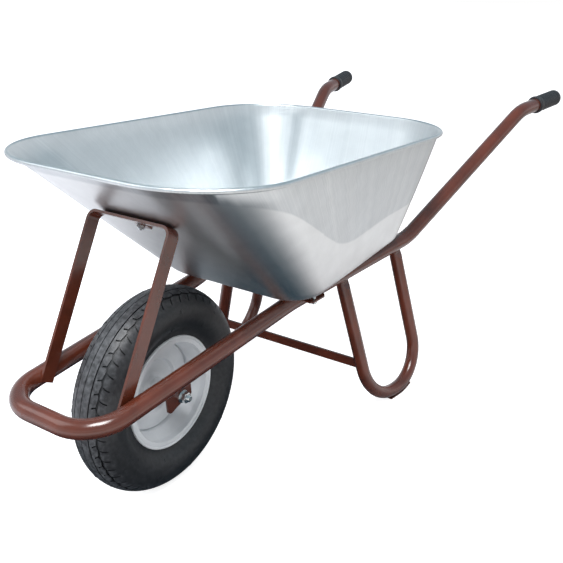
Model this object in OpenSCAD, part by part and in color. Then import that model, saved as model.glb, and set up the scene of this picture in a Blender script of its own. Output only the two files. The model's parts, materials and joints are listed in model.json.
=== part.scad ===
// Builder's wheelbarrow: a bent tube frame, a pressed tray with a wired edge and one air-filled wheel.
// Millimetres. Z is up, the ground is at Z = 0, and the handles point to +Y.
// "Left" is the left hand of the person who pushes the barrow, which is +X.

/* [Wheel] */
// Diameter of the tyre over its tread
tyre_d = 406; // [394:1:416]
// Width of the tyre at its widest
tyre_w = 99; // [90:1:101]
// Rubber under the tread
crown_wall = 9; // [7:0.5:11]
// Rubber in the side walls
side_wall = 6; // [4:0.5:7]
// Depth of the tread grooves
tread_depth = 4; // [2:0.5:5]
// Width of the tread grooves
tread_groove = 4; // [3:0.5:5]
// Spacing of the grooves that run round the tyre
tread_pitch = 17; // [14:0.5:19]
// Diameter over the rim flanges
rim_d = 226; // [222:1:232]
// Width over the rim flanges
rim_w = 66; // [62:1:70]
// Diameter of the bead seats
seat_d = 203; // [199:1:206]
// Diameter of the rim well
well_d = 184; // [178:1:190]
// Width of the flat bottom of the rim well
well_w = 13; // [11:1:16]
// Distance from the middle of the wheel to the near edge of the well
well_place = 6; // [4:0.5:8]
// Distance from the middle of the wheel to the foot of the near bead seat
seat_place = 20; // [17:0.5:22]
// Width of the step between the well and the far bead seat
well_step = 4; // [3:0.5:5]
// Thickness of the rim sheet
rim_wall = 2; // [1.5:0.25:2.5]
// Diameter of the curled lip of the rim
lip_d = 5; // [4:0.5:6]
// Thickness of the wheel disc
disc_wall = 2.5; // [2:0.25:3]
// Offset of the wheel disc from the middle of the wheel
disc_offset = 11; // [9:0.5:12]
// Diameter of the recess in the middle of the disc
recess_d = 102; // [90:1:118]
// Depth of the recess in the middle of the disc
recess_depth = 5; // [3:0.5:7]
// Diameter of the hub tube
hub_d = 36; // [34:0.5:40]
// Wall of the hub tube
hub_wall = 4; // [3:0.5:5]
// Length of the hub tube
hub_length = 80; // [74:1:82]
// Wall of the inner tube
inner_wall = 1.8; // [1.2:0.1:2.5]
// Length of a bush inside the hub
bush_length = 22; // [16:1:30]
// Thickness of a bush's flange
bush_flange = 3; // [2:0.5:4]

/* [Axle] */
// Diameter of the axle bolt
axle_d = 12; // [11:0.5:13]
// Running clearance of the axle in the bushes, on the radius
run_gap = 0.05; // [0.03:0.01:0.09]
// Side play of the hub against each spacer
side_play = 0.3; // [0.2:0.05:0.5]
// Space from the middle of the wheel to each axle bracket
bracket_space = 54; // [52:0.5:57]
// Width across the flats of the axle nut and head
axle_af = 19; // [17:0.5:21]
// Height of the axle nut
axle_nut_h = 10; // [8:0.5:12]
// Height of the axle bolt's head
axle_head_h = 7.5; // [6:0.5:9]
// Thickness of the axle washers
axle_washer_t = 2.5; // [2:0.25:3]
// Diameter of the axle washers
axle_washer_d = 26; // [24:0.5:28]
// Thread that stands out of the axle nut
axle_stub = 7; // [3:0.5:12]
// Thickness of the bracket plate
bracket_t = 4; // [3:0.5:5]
// How far the bracket plate reaches ahead of the axle
bracket_front = 42; // [34:1:46]
// How far the bracket plate reaches behind the axle
bracket_rear = 26; // [22:1:32]
// Distance below the middle of the rail at which the plate turns out towards it
bracket_knee = 36; // [30:1:42]
// Clearance of the axle in the open slot, on the radius
slot_gap = 0.2; // [0.1:0.05:0.4]
// How far the front lobe of the bracket reaches below the axle
front_lobe = 19; // [14:1:26]
// How far the rear lobe of the bracket reaches below the axle
rear_lobe = 10; // [8:1:18]

/* [Frame tube] */
// Diameter of the main tube
tube_d = 34.5; // [32:0.5:36]
// Wall of the main tube
tube_wall = 1.5; // [1.25:0.25:2.5]
// Reach of the front bar ahead of the axle
nose_reach = 271; // [255:1:290]
// Half the spacing of the rails at the front corners
nose_half = 109; // [104:1:114]
// Height of the front bar above the axle
nose_rise = 71; // [66:1:76]
// Bend radius of the front corners
nose_bend = 73; // [66:1:78]
// Distance from the axle back to where the rails spread
spread_y = 269; // [260:1:280]
// Half the spacing of the rails where they spread
spread_half = 122; // [118:1:128]
// Height of the rails above the axle where they spread
spread_rise = 111; // [107:1:115]
// Distance from the axle back to the kink
kink_y = 659; // [650:1:672]
// Half the spacing of the rails at the kink
kink_half = 193; // [188:1:200]
// Height of the rails above the axle at the kink
kink_rise = 156; // [152:1:160]
// Distance from the axle back to the bend before the grips
handle_y = 1079; // [1050:1:1100]
// Half the spacing of the handles at that bend
handle_half = 294; // [282:1:302]
// Height of the handles above the axle at that bend
handle_rise = 400; // [380:1:420]
// Distance from the axle back to the end of the grips
end_y = 1262; // [1240:1:1280]
// Half the spacing of the grips at their ends
end_half = 326; // [316:1:336]
// Height of the grips above the axle at their ends
end_rise = 413; // [400:1:430]
// Bend radius where the rails spread
spread_bend = 250; // [200:5:300]
// Bend radius at the kink and before the grips
handle_bend = 115; // [100:1:130]

/* [Legs] */
// Diameter of the leg tube
leg_d = 29; // [27:0.5:30]
// Wall of the leg tube
leg_wall = 1.5; // [1.25:0.25:2.5]
// Distance from the axle back to the top of the front upright
leg_front_top = 429; // [418:1:434]
// Distance from the axle back to the top of the rear upright
leg_rear_top = 614; // [604:1:620]
// Distance from the axle back to the front corner of the foot
leg_front_foot = 455; // [440:1:458]
// Distance from the axle back to the rear corner of the foot
leg_rear_foot = 655; // [644:1:660]
// Half the spacing of the feet at their front corners
foot_front_half = 225; // [215:1:235]
// Half the spacing of the feet at their rear corners
foot_rear_half = 252; // [244:1:260]
// Bend radius of the front corner of a foot
foot_front_bend = 100; // [90:1:104]
// Bend radius of the rear corner of a foot
foot_rear_bend = 88; // [80:1:92]
// Length of the pinched end of each upright
pinch_length = 22; // [16:1:30]
// Thickness of the pinched end of each upright
pinch_t = 17; // [12:0.5:20]
// Thickness of the wear plates
wear_t = 3.5; // [2:0.25:4]
// Width of the wear plates
wear_w = 18; // [14:0.5:24]
// Length of the flat part of a wear plate
wear_flat = 28; // [20:1:40]
// Angle that a wear plate follows round the rear bend of its foot
wear_angle = 28; // [20:1:44]
// How much wider than the tube a wear plate is bent, so that its rear end stands off
wear_lift = 3; // [2:0.5:10]
// Place of the brace down the front uprights, from the top, in parts of 1
brace_place = 0.69; // [0.6:0.01:0.76]
// Height of the brace bar
brace_h = 21; // [16:0.5:26]
// Thickness of the brace bar
brace_t = 5; // [4:0.5:6]

/* [Front strap] */
// Width of the strap's flat bar
strap_w = 28; // [24:1:32]
// Thickness of the strap's flat bar
strap_t = 5; // [4:0.5:6]
// Distance ahead of the axle at which the strap stands on the tube
strap_foot = 184; // [178:1:190]
// Inner bend radius at the strap's upper corners
strap_bend = 13; // [8:1:18]
// Distance up the tray's front wall to the strap's crosspiece
strap_up_wall = 349; // [320:1:360]
// How far the strap's feet reach below the middle of the tube
strap_below = 9; // [6:1:14]
// Width of the tab on the strap
tab_w = 28; // [24:1:36]
// Length of the tab below the strap's crosspiece
tab_l = 24; // [20:1:30]
// Thickness of all the tray tabs
tab_t = 4; // [3:0.5:5]

/* [Tray] */
// Half the width of the tray over its rolled edge
rim_half = 293; // [284:1:300]
// Distance ahead of the axle of the tray's front edge
rim_front = 159; // [150:1:168]
// Distance behind the axle of the tray's rear edge
rim_rear = 729; // [718:1:740]
// Height of the tray's front edge above the axle
rim_front_rise = 460; // [448:1:470]
// Height of the tray's rear edge above the axle
rim_rear_rise = 420; // [410:1:430]
// Corner radius of the rolled edge at the front
rim_front_r = 187; // [170:1:200]
// Corner radius of the rolled edge at the rear
rim_rear_r = 178; // [160:1:190]
// Half the width of the floor at its front
floor_front_half = 187; // [180:1:196]
// Half the width of the floor at its rear
floor_rear_half = 202; // [197:1:210]
// Distance from the axle back to the front of the floor
floor_front = 228; // [222:1:236]
// Distance from the axle back to the rear of the floor
floor_rear = 636; // [628:1:642]
// Corner radius of the floor
floor_r = 74; // [66:1:84]
// Radius between the floor and the walls
floor_fillet = 25; // [22:1:28]
// Thickness of the tray sheet
sheet_t = 1; // [0.8:0.1:1.5]
// Diameter of the rolled edge
roll_d = 9; // [8:0.5:11]
// Diameter of the wire in the rolled edge
wire_d = 6; // [5:0.25:6.5]

/* [Tray fixings] */
// Diameter of the tray bolts
bolt_d = 8; // [7:0.5:9]
// Width across the flats of the tray nuts
nut_af = 13; // [12:0.5:14]
// Height of the tray nuts
nut_h = 6.5; // [5:0.5:8]
// Diameter of the tray bolts' domed heads
head_d = 15; // [13:0.5:16]
// Height of the tray bolts' domed heads
head_h = 4; // [3:0.5:5]
// Diameter of the washers inside the tray
washer_d = 16; // [16:0.5:17.5]
// Thickness of the washers inside the tray
washer_t = 1.5; // [1:0.25:2]
// Reach of a side tab from the middle of the rail
side_tab_reach = 34; // [33:1:40]
// Length of a side tab along the rail
side_tab_l = 46; // [34:1:60]
// How far a side tab lies below the middle of the rail
side_tab_drop = 1; // [0:0.5:6]
// Distance from the end of a side tab to its bolt
side_tab_edge = 11; // [9:1:16]
// Space between the rail and the tray nuts beside it
bolt_space = 0.5; // [0.25:0.25:1.5]
// Distance from the axle back to the front tray bolts
front_bolt_y = 308; // [302:1:316]
// Distance from the axle back to the rear tray bolts
rear_bolt_y = 572; // [552:1:580]

/* [Grips] */
// Diameter of the grips
grip_d = 42; // [40:0.5:44]
// Length of the grips
grip_length = 112; // [100:1:125]
// Thickness of the closed end of a grip
grip_cap = 5; // [4:0.5:7]
// Rounding of the closed end of a grip
grip_round = 9; // [6:0.5:10]
// Diameter of the collar where a grip starts
collar_d = 46; // [44:0.5:48]
// Length of the collar
collar_length = 8; // [6:0.5:10]

/* [Hidden] */
$fn = 48;

tube_r = tube_d / 2;
leg_r = leg_d / 2;
axle_r = axle_d / 2;
tyre_r = tyre_d / 2;
rim_r = rim_d / 2;
axle_h = tyre_r;

// Clearances: what is welded to a tube, what is pushed on it, and what lies on a sheet
weld_gap = 0.1;
push_gap = 0.05;
lay_gap = 0.1;

// Points of the left half of the main tube, from the front corner to the grip's end
nose_p = [nose_half, -nose_reach, axle_h + nose_rise];
spread_p = [spread_half, spread_y, axle_h + spread_rise];
kink_p = [kink_half, kink_y, axle_h + kink_rise];
handle_p = [handle_half, handle_y, axle_h + handle_rise];
end_p = [end_half, end_y, axle_h + end_rise];
grip_dir = unit(end_p - handle_p);
tube_end_p = end_p - grip_cap * grip_dir;

// The origin lies under the middle of the whole barrow
front_most = -nose_reach - tube_r;
back_most = end_y - grip_round * grip_dir[1]
    + (grip_d / 2 - grip_round) * sqrt(1 - grip_dir[1] * grip_dir[1]) + grip_round;
mid_y = (front_most + back_most) / 2;

// Vectors and points
function unit(v) = v / norm(v);
function flip(p) = [-p[0], p[1], p[2]];
function blend(a, b, k) = a + (b - a) * k;
function turn(a, b, c) = 180 - acos(max(-1, min(1, unit(a - b) * unit(c - b))));
function setback(a, b, c, r) = r * tan(turn(a, b, c) / 2);
// A frame at p with its Z along d and its X as near to side as it can be
function frame_x(side, d) = unit(side - (side * unit(d)) * unit(d));
function frame(p, side, d) =
    let (z = unit(d), x = frame_x(side, d), y = cross(z, x))
    [[x[0], y[0], z[0], p[0]], [x[1], y[1], z[1], p[1]], [x[2], y[2], z[2], p[2]], [0, 0, 0, 1]];
// A point on the middle of the left rail, at a distance behind the axle
function rail_p(y) = y < spread_y
    ? blend(nose_p, spread_p, (y + nose_reach) / (spread_y + nose_reach))
    : blend(spread_p, kink_p, (y - spread_y) / (kink_y - spread_y));

module placed() { translate([0, -mid_y, 0]) children(); }
module mirrored() { mirror([1, 0, 0]) children(); }

// A straight round bar between two points, which may run on past its ends
module rod(a, b, d, before = 0, after = 0) {
    u = unit(b - a);
    side = abs(u[0]) > 0.9 ? [0, 1, 0] : [1, 0, 0];
    multmatrix(frame(a - before * u, side, b - a)) cylinder(h = norm(b - a) + before + after, d = d);
}

// The bend at b between a and c, a little short of the straights at both ends
module bend(a, b, c, r, d, wall) {
    s = setback(a, b, c, r);
    u = unit(a - b);
    w = unit(c - b);
    middle = b + unit(u + w) * sqrt(r * r + s * s);
    start = unit(b + u * s - middle);
    axis = unit(cross(start, b + w * s - middle));
    short = asin(joint_gap / r);
    multmatrix(frame(middle, start, axis)) rotate([0, 0, short])
        rotate_extrude(angle = turn(a, b, c) - 2 * short) translate([r, 0]) difference() {
            circle(d = d);
            if (2 * wall < d) circle(d = d - 2 * wall);
        }
}

// A straight length of tube between two points
module pipe(a, b, d, wall) {
    difference() {
        rod(a, b, d);
        rod(a, b, d - 2 * wall, 1, 1);
    }
}

// The clamp of the bending machine leaves a faint ring where a straight meets a bend
joint_gap = 0.1;
joint_ring = 0.6;
joint_rise = 0.05;
module clamp_ring(p, u, d, wall) {
    pipe(p - joint_ring * u, p + joint_ring * u, d + 2 * joint_rise, wall + 2 * joint_rise);
}

// A bent tube along points, with a true bend at each inner point
module tube(points, bends, d, wall) {
    last = len(points) - 1;
    backs = [for (i = [0 : last]) i == 0 || i == last ? 0
        : setback(points[i - 1], points[i], points[i + 1], bends[i])];
    for (i = [0 : last - 1]) {
        u = unit(points[i + 1] - points[i]);
        a = points[i] + backs[i] * u;
        b = points[i + 1] - backs[i + 1] * u;
        pipe(a + (i > 0 ? joint_gap : 0) * u, b - (i < last - 1 ? joint_gap : 0) * u, d, wall);
        if (i > 0) clamp_ring(a, u, d, wall);
        if (i < last - 1) clamp_ring(b, u, d, wall);
    }
    for (i = [1 : last - 1]) bend(points[i - 1], points[i], points[i + 1], bends[i], d, wall);
}

// ---- Main tube: one piece from grip to grip, round the front of the wheel ----
half_path = [nose_p, spread_p, kink_p, handle_p, tube_end_p];
half_bends = [nose_bend, spread_bend, handle_bend, handle_bend, 0];
tube_path = concat([for (i = [4 : -1 : 0]) half_path[i]], [for (p = half_path) flip(p)]);
tube_bends = concat([for (i = [4 : -1 : 0]) half_bends[i]], half_bends);

module frame_tube() {
    placed() color("#7A4030") tube(tube_path, tube_bends, tube_d, tube_wall);
}

// The outside of a rail, to seat what is welded to it
cut_d = tube_d + 2 * weld_gap;
module front_rail_cut() { rod(nose_p, spread_p, cut_d); }
module rail_cut() {
    front_rail_cut();
    rod(spread_p, kink_p, cut_d);
}

// ---- Legs: a bent tube each, with pinched ends welded under the rail ----
foot_h = leg_r + weld_gap + wear_t;
foot_front = [foot_front_half, leg_front_foot, foot_h];
foot_rear = [foot_rear_half, leg_rear_foot, foot_h];
front_top = rail_p(leg_front_top) - [tube_r * 0.25, 0, 0];
rear_top = rail_p(leg_rear_top) - [tube_r * 0.25, 0, 0];
front_up = unit(front_top - foot_front);
rear_up = unit(rear_top - foot_rear);
front_pinch = front_top - (tube_r + pinch_length) * front_up;
rear_pinch = rear_top - (tube_r + pinch_length) * rear_up;
leg_path = [front_pinch, foot_front, foot_rear, rear_pinch];
leg_bends = [0, foot_front_bend, foot_rear_bend, 0];

// The pinched end: a round tube pressed flat between two jaws, where up is the way to the rail
pinch_flat = pinch_length * 0.7;
module pinch_form(d, half_flat, from, to) {
    side = d / 2 + 0.5;
    intersection() {
        translate([0, 0, from]) cylinder(h = to - from, d = d);
        rotate([90, 0, 0]) linear_extrude(d + 2, center = true)
            polygon([[-side, from - 1], [side, from - 1], [side, 0], [half_flat, pinch_flat],
                [half_flat, to + 1], [-half_flat, to + 1], [-half_flat, pinch_flat], [-side, 0]]);
    }
}
module pinched(p, up) {
    multmatrix(frame(p, [1, 0, 0], up)) difference() {
        pinch_form(leg_d, pinch_t / 2, joint_gap, pinch_length + tube_r);
        pinch_form(leg_d - 2 * leg_wall, pinch_t / 2 - leg_wall, -1, pinch_length + tube_r + 1);
    }
    clamp_ring(p, up, leg_d, leg_wall);
}

module leg() {
    difference() {
        union() {
            tube(leg_path, leg_bends, leg_d, leg_wall);
            pinched(front_pinch, front_up);
            pinched(rear_pinch, rear_up);
        }
        rail_cut();
    }
}
module left_leg() { placed() color("#7A4030") leg(); }
module right_leg() { placed() color("#7A4030") mirrored() leg(); }

// A strip of thin plate under the rear bend of a foot, bent a little wider than the tube
module wear_plate() {
    along = unit(foot_rear - foot_front);
    start = foot_rear - setback(foot_front, foot_rear, rear_pinch, foot_rear_bend) * along;
    r = foot_rear_bend + leg_r + wear_lift;
    middle = [start[0], start[1], wear_t + r];
    multmatrix(frame(middle, [0, 0, -1], cross([0, 0, -1], along))) {
        rotate_extrude(angle = wear_angle) translate([r, -wear_w / 2]) square([wear_t, wear_w]);
        translate([r, -wear_flat, -wear_w / 2]) cube([wear_t, wear_flat, wear_w]);
    }
}
module left_wear_plate() { placed() color("#2E2A2A") wear_plate(); }
module right_wear_plate() { placed() color("#2E2A2A") mirrored() wear_plate(); }

// A flat bar on edge between the two front uprights
brace_p = blend(front_top, foot_front, brace_place);
module leg_brace() {
    placed() color("#7A4030") difference() {
        translate([-brace_p[0], brace_p[1] - brace_t / 2, brace_p[2] - brace_h / 2])
            cube([2 * brace_p[0], brace_t, brace_h]);
        rod(front_pinch, foot_front, leg_d + 2 * weld_gap);
        mirrored() rod(front_pinch, foot_front, leg_d + 2 * weld_gap);
    }
}

// ---- Tray: loops of points from the floor up to the rolled edge ----
roll_r = roll_d / 2;
// Underside of the floor, which lies on the rails from its first flat line to its last
rest_gap = 0.1;
rest_front = rail_p(floor_front + floor_fillet);
rest_rear = rail_p(floor_rear - floor_fillet);
floor_slope = (rest_rear[2] - rest_front[2]) / (rest_rear[1] - rest_front[1]);
function floor_z(y) = rest_front[2] + floor_slope * (y - rest_front[1])
    + (tube_r + rest_gap) * sqrt(1 + floor_slope * floor_slope);
corner_steps = 12;
// One loop: half widths, ends and heights at the front and rear, and the corner radii,
// moved outwards within its own plane
function loop(wf, wr, yf, yr, zf, zr, rf, rr, out) =
    [for (q = [0 : 3], i = [0 : corner_steps])
        let (a = q * 90 + i * 90 / corner_steps,
            w = q == 0 || q == 1 ? wr : wf,
            r = q == 0 || q == 1 ? rr : rf,
            cx = (q == 0 || q == 3 ? 1 : -1) * (w - r),
            cy = q < 2 ? yr - r : yf + r,
            y = cy + (r + out) * sin(a))
        [cx + (r + out) * cos(a), y, zf + (zr - zf) * (y - yf) / (yr - yf)]];
// The top of the walls, where the edge starts to roll outwards
top_in = roll_d - 1.2 * sheet_t;
function wall_loop(k, out, up) = loop(
    floor_front_half + (rim_half - top_in - floor_front_half) * k,
    floor_rear_half + (rim_half - top_in - floor_rear_half) * k,
    floor_front + (-rim_front + top_in - floor_front) * k,
    floor_rear + (rim_rear - top_in - floor_rear) * k,
    floor_z(floor_front) + (axle_h + rim_front_rise - roll_r - floor_z(floor_front)) * k + up,
    floor_z(floor_rear) + (axle_h + rim_rear_rise - roll_r - floor_z(floor_rear)) * k + up,
    floor_r + (rim_front_r - top_in - floor_r) * k,
    floor_r + (rim_rear_r - top_in - floor_r) * k, out);
// How the inside lies from the outside: inwards and up, by the lean of the sheet there
wall_lean = 68;
function inwards(lean) = 1.2 * sheet_t * sin(lean);
function upwards(lean) = sheet_t * cos(lean);
// The height of the rounding between floor and wall, in parts of the wall
fillet_k = floor_fillet / (rim_front_rise + axle_h - floor_z(floor_front)) * 0.9;
fillet_steps = 5;
// From the flat floor, round the fillet and up to the top of the wall
function rise_loops(inside) = concat(
    [for (i = [0 : fillet_steps])
        let (s = i / fillet_steps,
            flat_part = floor_fillet * (1 - s) * (1 - s),
            wall_part = fillet_k * s * s,
            lean = wall_lean * s)
        wall_loop(wall_part, -flat_part - (inside ? inwards(lean) : 0), inside ? upwards(lean) : 0)],
    [wall_loop(1, inside ? -inwards(wall_lean) : 0, inside ? upwards(wall_lean) : 0)]);
// Round the roll, out and down; the inside of the tray is the outside of the roll
roll_steps = 8;
function roll_loops(inside) = [for (i = [1 : roll_steps])
    let (a = 180 - i * 300 / roll_steps, r = inside ? roll_r : roll_r - sheet_t)
    wall_loop(1, roll_r - 1.2 * sheet_t + r * cos(a), r * sin(a))];
tray_inside = concat(rise_loops(true), roll_loops(true));
tray_outside = concat(rise_loops(false), roll_loops(false));
// A closed skin from two stacks of loops that meet at their last loop
function ring_faces(from, to, n) = [for (i = [0 : n - 1])
    let (j = (i + 1) % n) each [[from + i, to + i, from + j], [from + j, to + i, to + j]]];

module tray_shell() {
    n = 4 * (corner_steps + 1);
    stack = concat(tray_outside, [for (i = [len(tray_inside) - 1 : -1 : 0]) tray_inside[i]]);
    points = [for (l = stack, p = l) p];
    faces = concat([[for (i = [0 : n - 1]) i]],
        [for (l = [0 : len(stack) - 2]) each ring_faces(l * n, (l + 1) * n, n)],
        [[for (i = [n - 1 : -1 : 0]) (len(stack) - 1) * n + i]]);
    polyhedron(points = points, faces = faces, convexity = 6);
}

// Unit vector out of the tray's front wall, and points on that wall
wall_top = [0, -rim_front + top_in, axle_h + rim_front_rise - roll_r];
wall_foot = [0, floor_front, floor_z(floor_front)];
wall_up = unit(wall_top - wall_foot);
wall_out = cross([1, 0, 0], wall_up);

// ---- Front strap: a flat bar bent to a U, which holds up the front of the tray ----
strap_foot_p = rail_p(-strap_foot);
// The strap leans back until the lower edge of its crosspiece rests on the wall
tab_gap = 0.3;
strap_aim = wall_foot + wall_up * strap_up_wall;
strap_aim_lean = unit([0, strap_aim[1] - strap_foot_p[1], strap_aim[2] - strap_foot_p[2]]);
strap_top_p = strap_aim + wall_out * (tab_gap + strap_w / 2 * abs(cross([1, 0, 0], strap_aim_lean) * wall_out)
    + strap_t / 2 * abs(strap_aim_lean * wall_out));
strap_lean = unit([0, strap_top_p[1] - strap_foot_p[1], strap_top_p[2] - strap_foot_p[2]]);
strap_tall = norm([0, strap_top_p[1] - strap_foot_p[1], strap_top_p[2] - strap_foot_p[2]]);
strap_seat = 2.4;
strap_half = strap_foot_p[0] - tube_r + strap_seat;

module strap_section() {
    outer = strap_bend + strap_t;
    for (s = [-1, 1]) {
        translate([s > 0 ? strap_half - strap_t : -strap_half, -strap_below])
            square([strap_t, strap_tall + strap_t / 2 - outer + strap_below]);
        translate([s * (strap_half - outer), strap_tall + strap_t / 2 - outer]) intersection() {
            difference() {
                circle(r = outer);
                circle(r = strap_bend);
            }
            translate([s > 0 ? 0 : -outer, 0]) square(outer);
        }
    }
    translate([-(strap_half - outer), strap_tall - strap_t / 2])
        square([2 * (strap_half - outer), strap_t]);
}
module strap_bar() {
    multmatrix(frame([0, strap_foot_p[1], strap_foot_p[2]], [1, 0, 0], cross([1, 0, 0], strap_lean)))
        linear_extrude(strap_w, center = true) strap_section();
}
module front_strap() {
    placed() color("#7A4030") difference() {
        strap_bar();
        front_rail_cut();
        mirrored() front_rail_cut();
    }
}

// ---- Tab on the strap, with the bolt that holds the tray's front wall ----
tab_bolt_down = strap_w / 2 + 10;
tab_bolt_p = strap_aim - wall_up * tab_bolt_down;
// The tab ends at the lower edge of the strap, where it is welded on
tab_top = weld_gap + strap_w / 2 * abs(cross([1, 0, 0], strap_lean) * wall_up)
    - strap_t / 2 * abs(strap_lean * wall_up);
module strap_tab() {
    placed() color("#7A4030") difference() {
        multmatrix(frame(strap_aim, [1, 0, 0], wall_out))
            translate([-tab_w / 2, -tab_top - tab_l, tab_gap]) cube([tab_w, tab_l, tab_t]);
        strap_bar();
        bolt_hole(tab_bolt_p, wall_out);
    }
}

// ---- Side tabs on the rails, with the bolts that hold the tray's floor ----
floor_n = unit([0, -floor_slope, 1]);
function rail_frame(y) = frame(rail_p(y), [1, 0, 0], y < spread_y ? spread_p - nose_p : kink_p - spread_p);
// A floor bolt stands beside the rail, outside it at the front and inside it at the rear
nut_r = nut_af / 2 / cos(30);
function bolt_x(y, side) = rail_p(y)[0] + side * (tube_r + nut_r + bolt_space);
function floor_bolt(y, side) = [bolt_x(y, side), y, floor_z(y)];
floor_bolts = [floor_bolt(front_bolt_y, 1), floor_bolt(rear_bolt_y, -1)];

module side_tab(y, side) {
    difference() {
        multmatrix(rail_frame(y)) translate([0, side_tab_drop, 0]) rotate([90, 0, 0]) mirror([0, 0, 1])
            linear_extrude(tab_t) polygon([[0, -side_tab_edge], [side * (side_tab_reach - 6), -side_tab_edge],
                [side * side_tab_reach, 6 - side_tab_edge], [side * side_tab_reach, side_tab_l - side_tab_edge - 6],
                [side * (side_tab_reach - 6), side_tab_l - side_tab_edge], [0, side_tab_l - side_tab_edge]]);
        rail_cut();
        bolt_hole(floor_bolt(y, side), -floor_n);
    }
}
module side_tabs() {
    placed() color("#7A4030") for (m = [0, 1]) mirror([m, 0, 0]) {
        side_tab(front_bolt_y, 1);
        side_tab(rear_bolt_y, -1);
    }
}

// ---- Tray and its fixings ----
hole_d = bolt_d + 1;
// Clear hole for a tray bolt, from inside the tray out along n
module bolt_hole(p, n) {
    rod(p - 10 * n, p + 60 * n, hole_d);
}
module tray() {
    placed() color("#B9C4C9") difference() {
        tray_shell();
        bolt_hole(tab_bolt_p, wall_out);
        for (p = floor_bolts) {
            bolt_hole(p, -floor_n);
            bolt_hole(flip(p), -floor_n);
        }
    }
}
module rim_wire() {
    n = 4 * (corner_steps + 1);
    sides = 8;
    loops = [for (s = [0 : sides - 1]) let (a = s * 360 / sides)
        wall_loop(1, roll_r - 1.2 * sheet_t + wire_d / 2 * cos(a), wire_d / 2 * sin(a))];
    points = [for (l = loops, p = l) p];
    placed() color("#8C9092") polyhedron(points = points, convexity = 6,
        faces = [for (s = [0 : sides - 1], i = [0 : n - 1])
            let (j = (i + 1) % n, a = s * n, b = ((s + 1) % sides) * n)
            each [[a + i, b + i, a + j], [a + j, b + i, b + j]]]);
}

// Places for the five tray bolts: a point on the outside of the sheet, the way out,
// the sheet there and the distance from the outside of the sheet to the nut
wall_sheet = inwards(wall_lean) * abs(wall_out[1]) + upwards(wall_lean) * abs(wall_out[2]);
tab_grip = tab_gap + tab_t;
function floor_grip(y) = side_tab_drop + tab_t
    + (floor_z(y) - rail_p(y)[2]) / sqrt(1 + floor_slope * floor_slope);
module each_bolt() {
    placed() {
        multmatrix(frame(tab_bolt_p, [1, 0, 0], wall_out)) children(0);
        for (p = floor_bolts, q = [p, flip(p)]) let ($grip = floor_grip(p[1]))
            multmatrix(frame(q, [1, 0, 0], -floor_n)) children(1);
    }
}
module tray_bolt(sheet, grip) {
    top = -sheet - lay_gap - washer_t;
    translate([0, 0, top]) cylinder(h = -top + grip + nut_h + 3, d = bolt_d);
    translate([0, 0, top - head_h]) cylinder(h = head_h, d1 = head_d * 0.55, d2 = head_d);
}
module tray_washer(sheet) {
    translate([0, 0, -sheet - lay_gap - washer_t]) difference() {
        cylinder(h = washer_t, d = washer_d);
        translate([0, 0, -1]) cylinder(h = washer_t + 2, d = hole_d);
    }
}
module tray_nut(grip) {
    translate([0, 0, grip]) difference() {
        cylinder(h = nut_h, r = nut_r, $fn = 6);
        translate([0, 0, -1]) cylinder(h = nut_h + 2, d = bolt_d);
    }
}
module tray_bolts() {
    color("#C4C7C9") each_bolt() { tray_bolt(wall_sheet, tab_grip); tray_bolt(sheet_t, $grip); }
}
module tray_washers() {
    color("#C4C7C9") each_bolt() { tray_washer(wall_sheet); tray_washer(sheet_t); }
}
module tray_nuts() {
    color("#C4C7C9") each_bolt() { tray_nut(tab_grip); tray_nut($grip); }
}

// ---- Grips ----
module grip() {
    grip_r = grip_d / 2;
    bore_r = tube_r + push_gap;
    multmatrix(frame(end_p - grip_length * grip_dir, [0, 0, 1], grip_dir)) rotate_extrude() polygon(concat(
        [[bore_r, 0], [collar_d / 2, 0], [collar_d / 2, collar_length], [grip_r, collar_length + 2]],
        [for (a = [0 : 15 : 90]) [grip_r - grip_round + grip_round * cos(a),
            grip_length - grip_round + grip_round * sin(a)]],
        [[0, grip_length], [0, grip_length - grip_cap + push_gap], [bore_r, grip_length - grip_cap + push_gap]]));
}
module left_grip() { placed() color("#34363B") grip(); }
module right_grip() { placed() color("#34363B") mirrored() grip(); }

// ---- Wheel: everything is turned about X at the axle ----
module on_axle() { placed() translate([0, 0, axle_h]) rotate([0, 90, 0]) children(); }

well_r = well_d / 2;
seat_r = seat_d / 2;
hub_r = hub_d / 2;
// The middle of the tyre's section, and its half height there
section_r = (tyre_r + rim_r) / 2;
tyre_half_h = (tyre_r - rim_r) / 2;
flange_in = rim_w / 2 - rim_wall;
bead_gap = 0.1;
// Distance from the wheel's middle at which the tyre's skin lies, for a width z
function skin_r(z) = section_r + tyre_half_h * sqrt(1 - pow(2 * z / tyre_w, 2));
// Points round a section, from one angle to another
function oval(a, b, step, half_h, half_w) =
    [for (t = [a : step : b]) [section_r + half_h * sin(t), half_w * cos(t)]];

module tyre() {
    low = -46;
    in_h = tyre_half_h - crown_wall;
    in_w = tyre_w / 2 - side_wall;
    in_low = -56;
    bead_in = in_w * cos(in_low);
    on_axle() color("#3A3B3F") difference() {
        rotate_extrude($fn = 96) polygon(concat(
            [[seat_r + bead_gap, flange_in - bead_gap], [rim_r + 6, flange_in - bead_gap]],
            oval(low, 180 - low, 8, tyre_half_h, tyre_w / 2),
            [[rim_r + 6, -flange_in + bead_gap], [seat_r + bead_gap, -flange_in + bead_gap],
                [seat_r + bead_gap, -bead_in]],
            oval(180 - in_low, in_low, -12.16, in_h, in_w),
            [[seat_r + bead_gap, bead_in]]));
        for (z = [for (k = [-1.5 : 1 : 1.5]) k * tread_pitch]) rotate_extrude($fn = 96)
            translate([skin_r(abs(z)) - tread_depth, z - tread_groove / 2]) square([tread_depth + 5, tread_groove]);
    }
}

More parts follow.
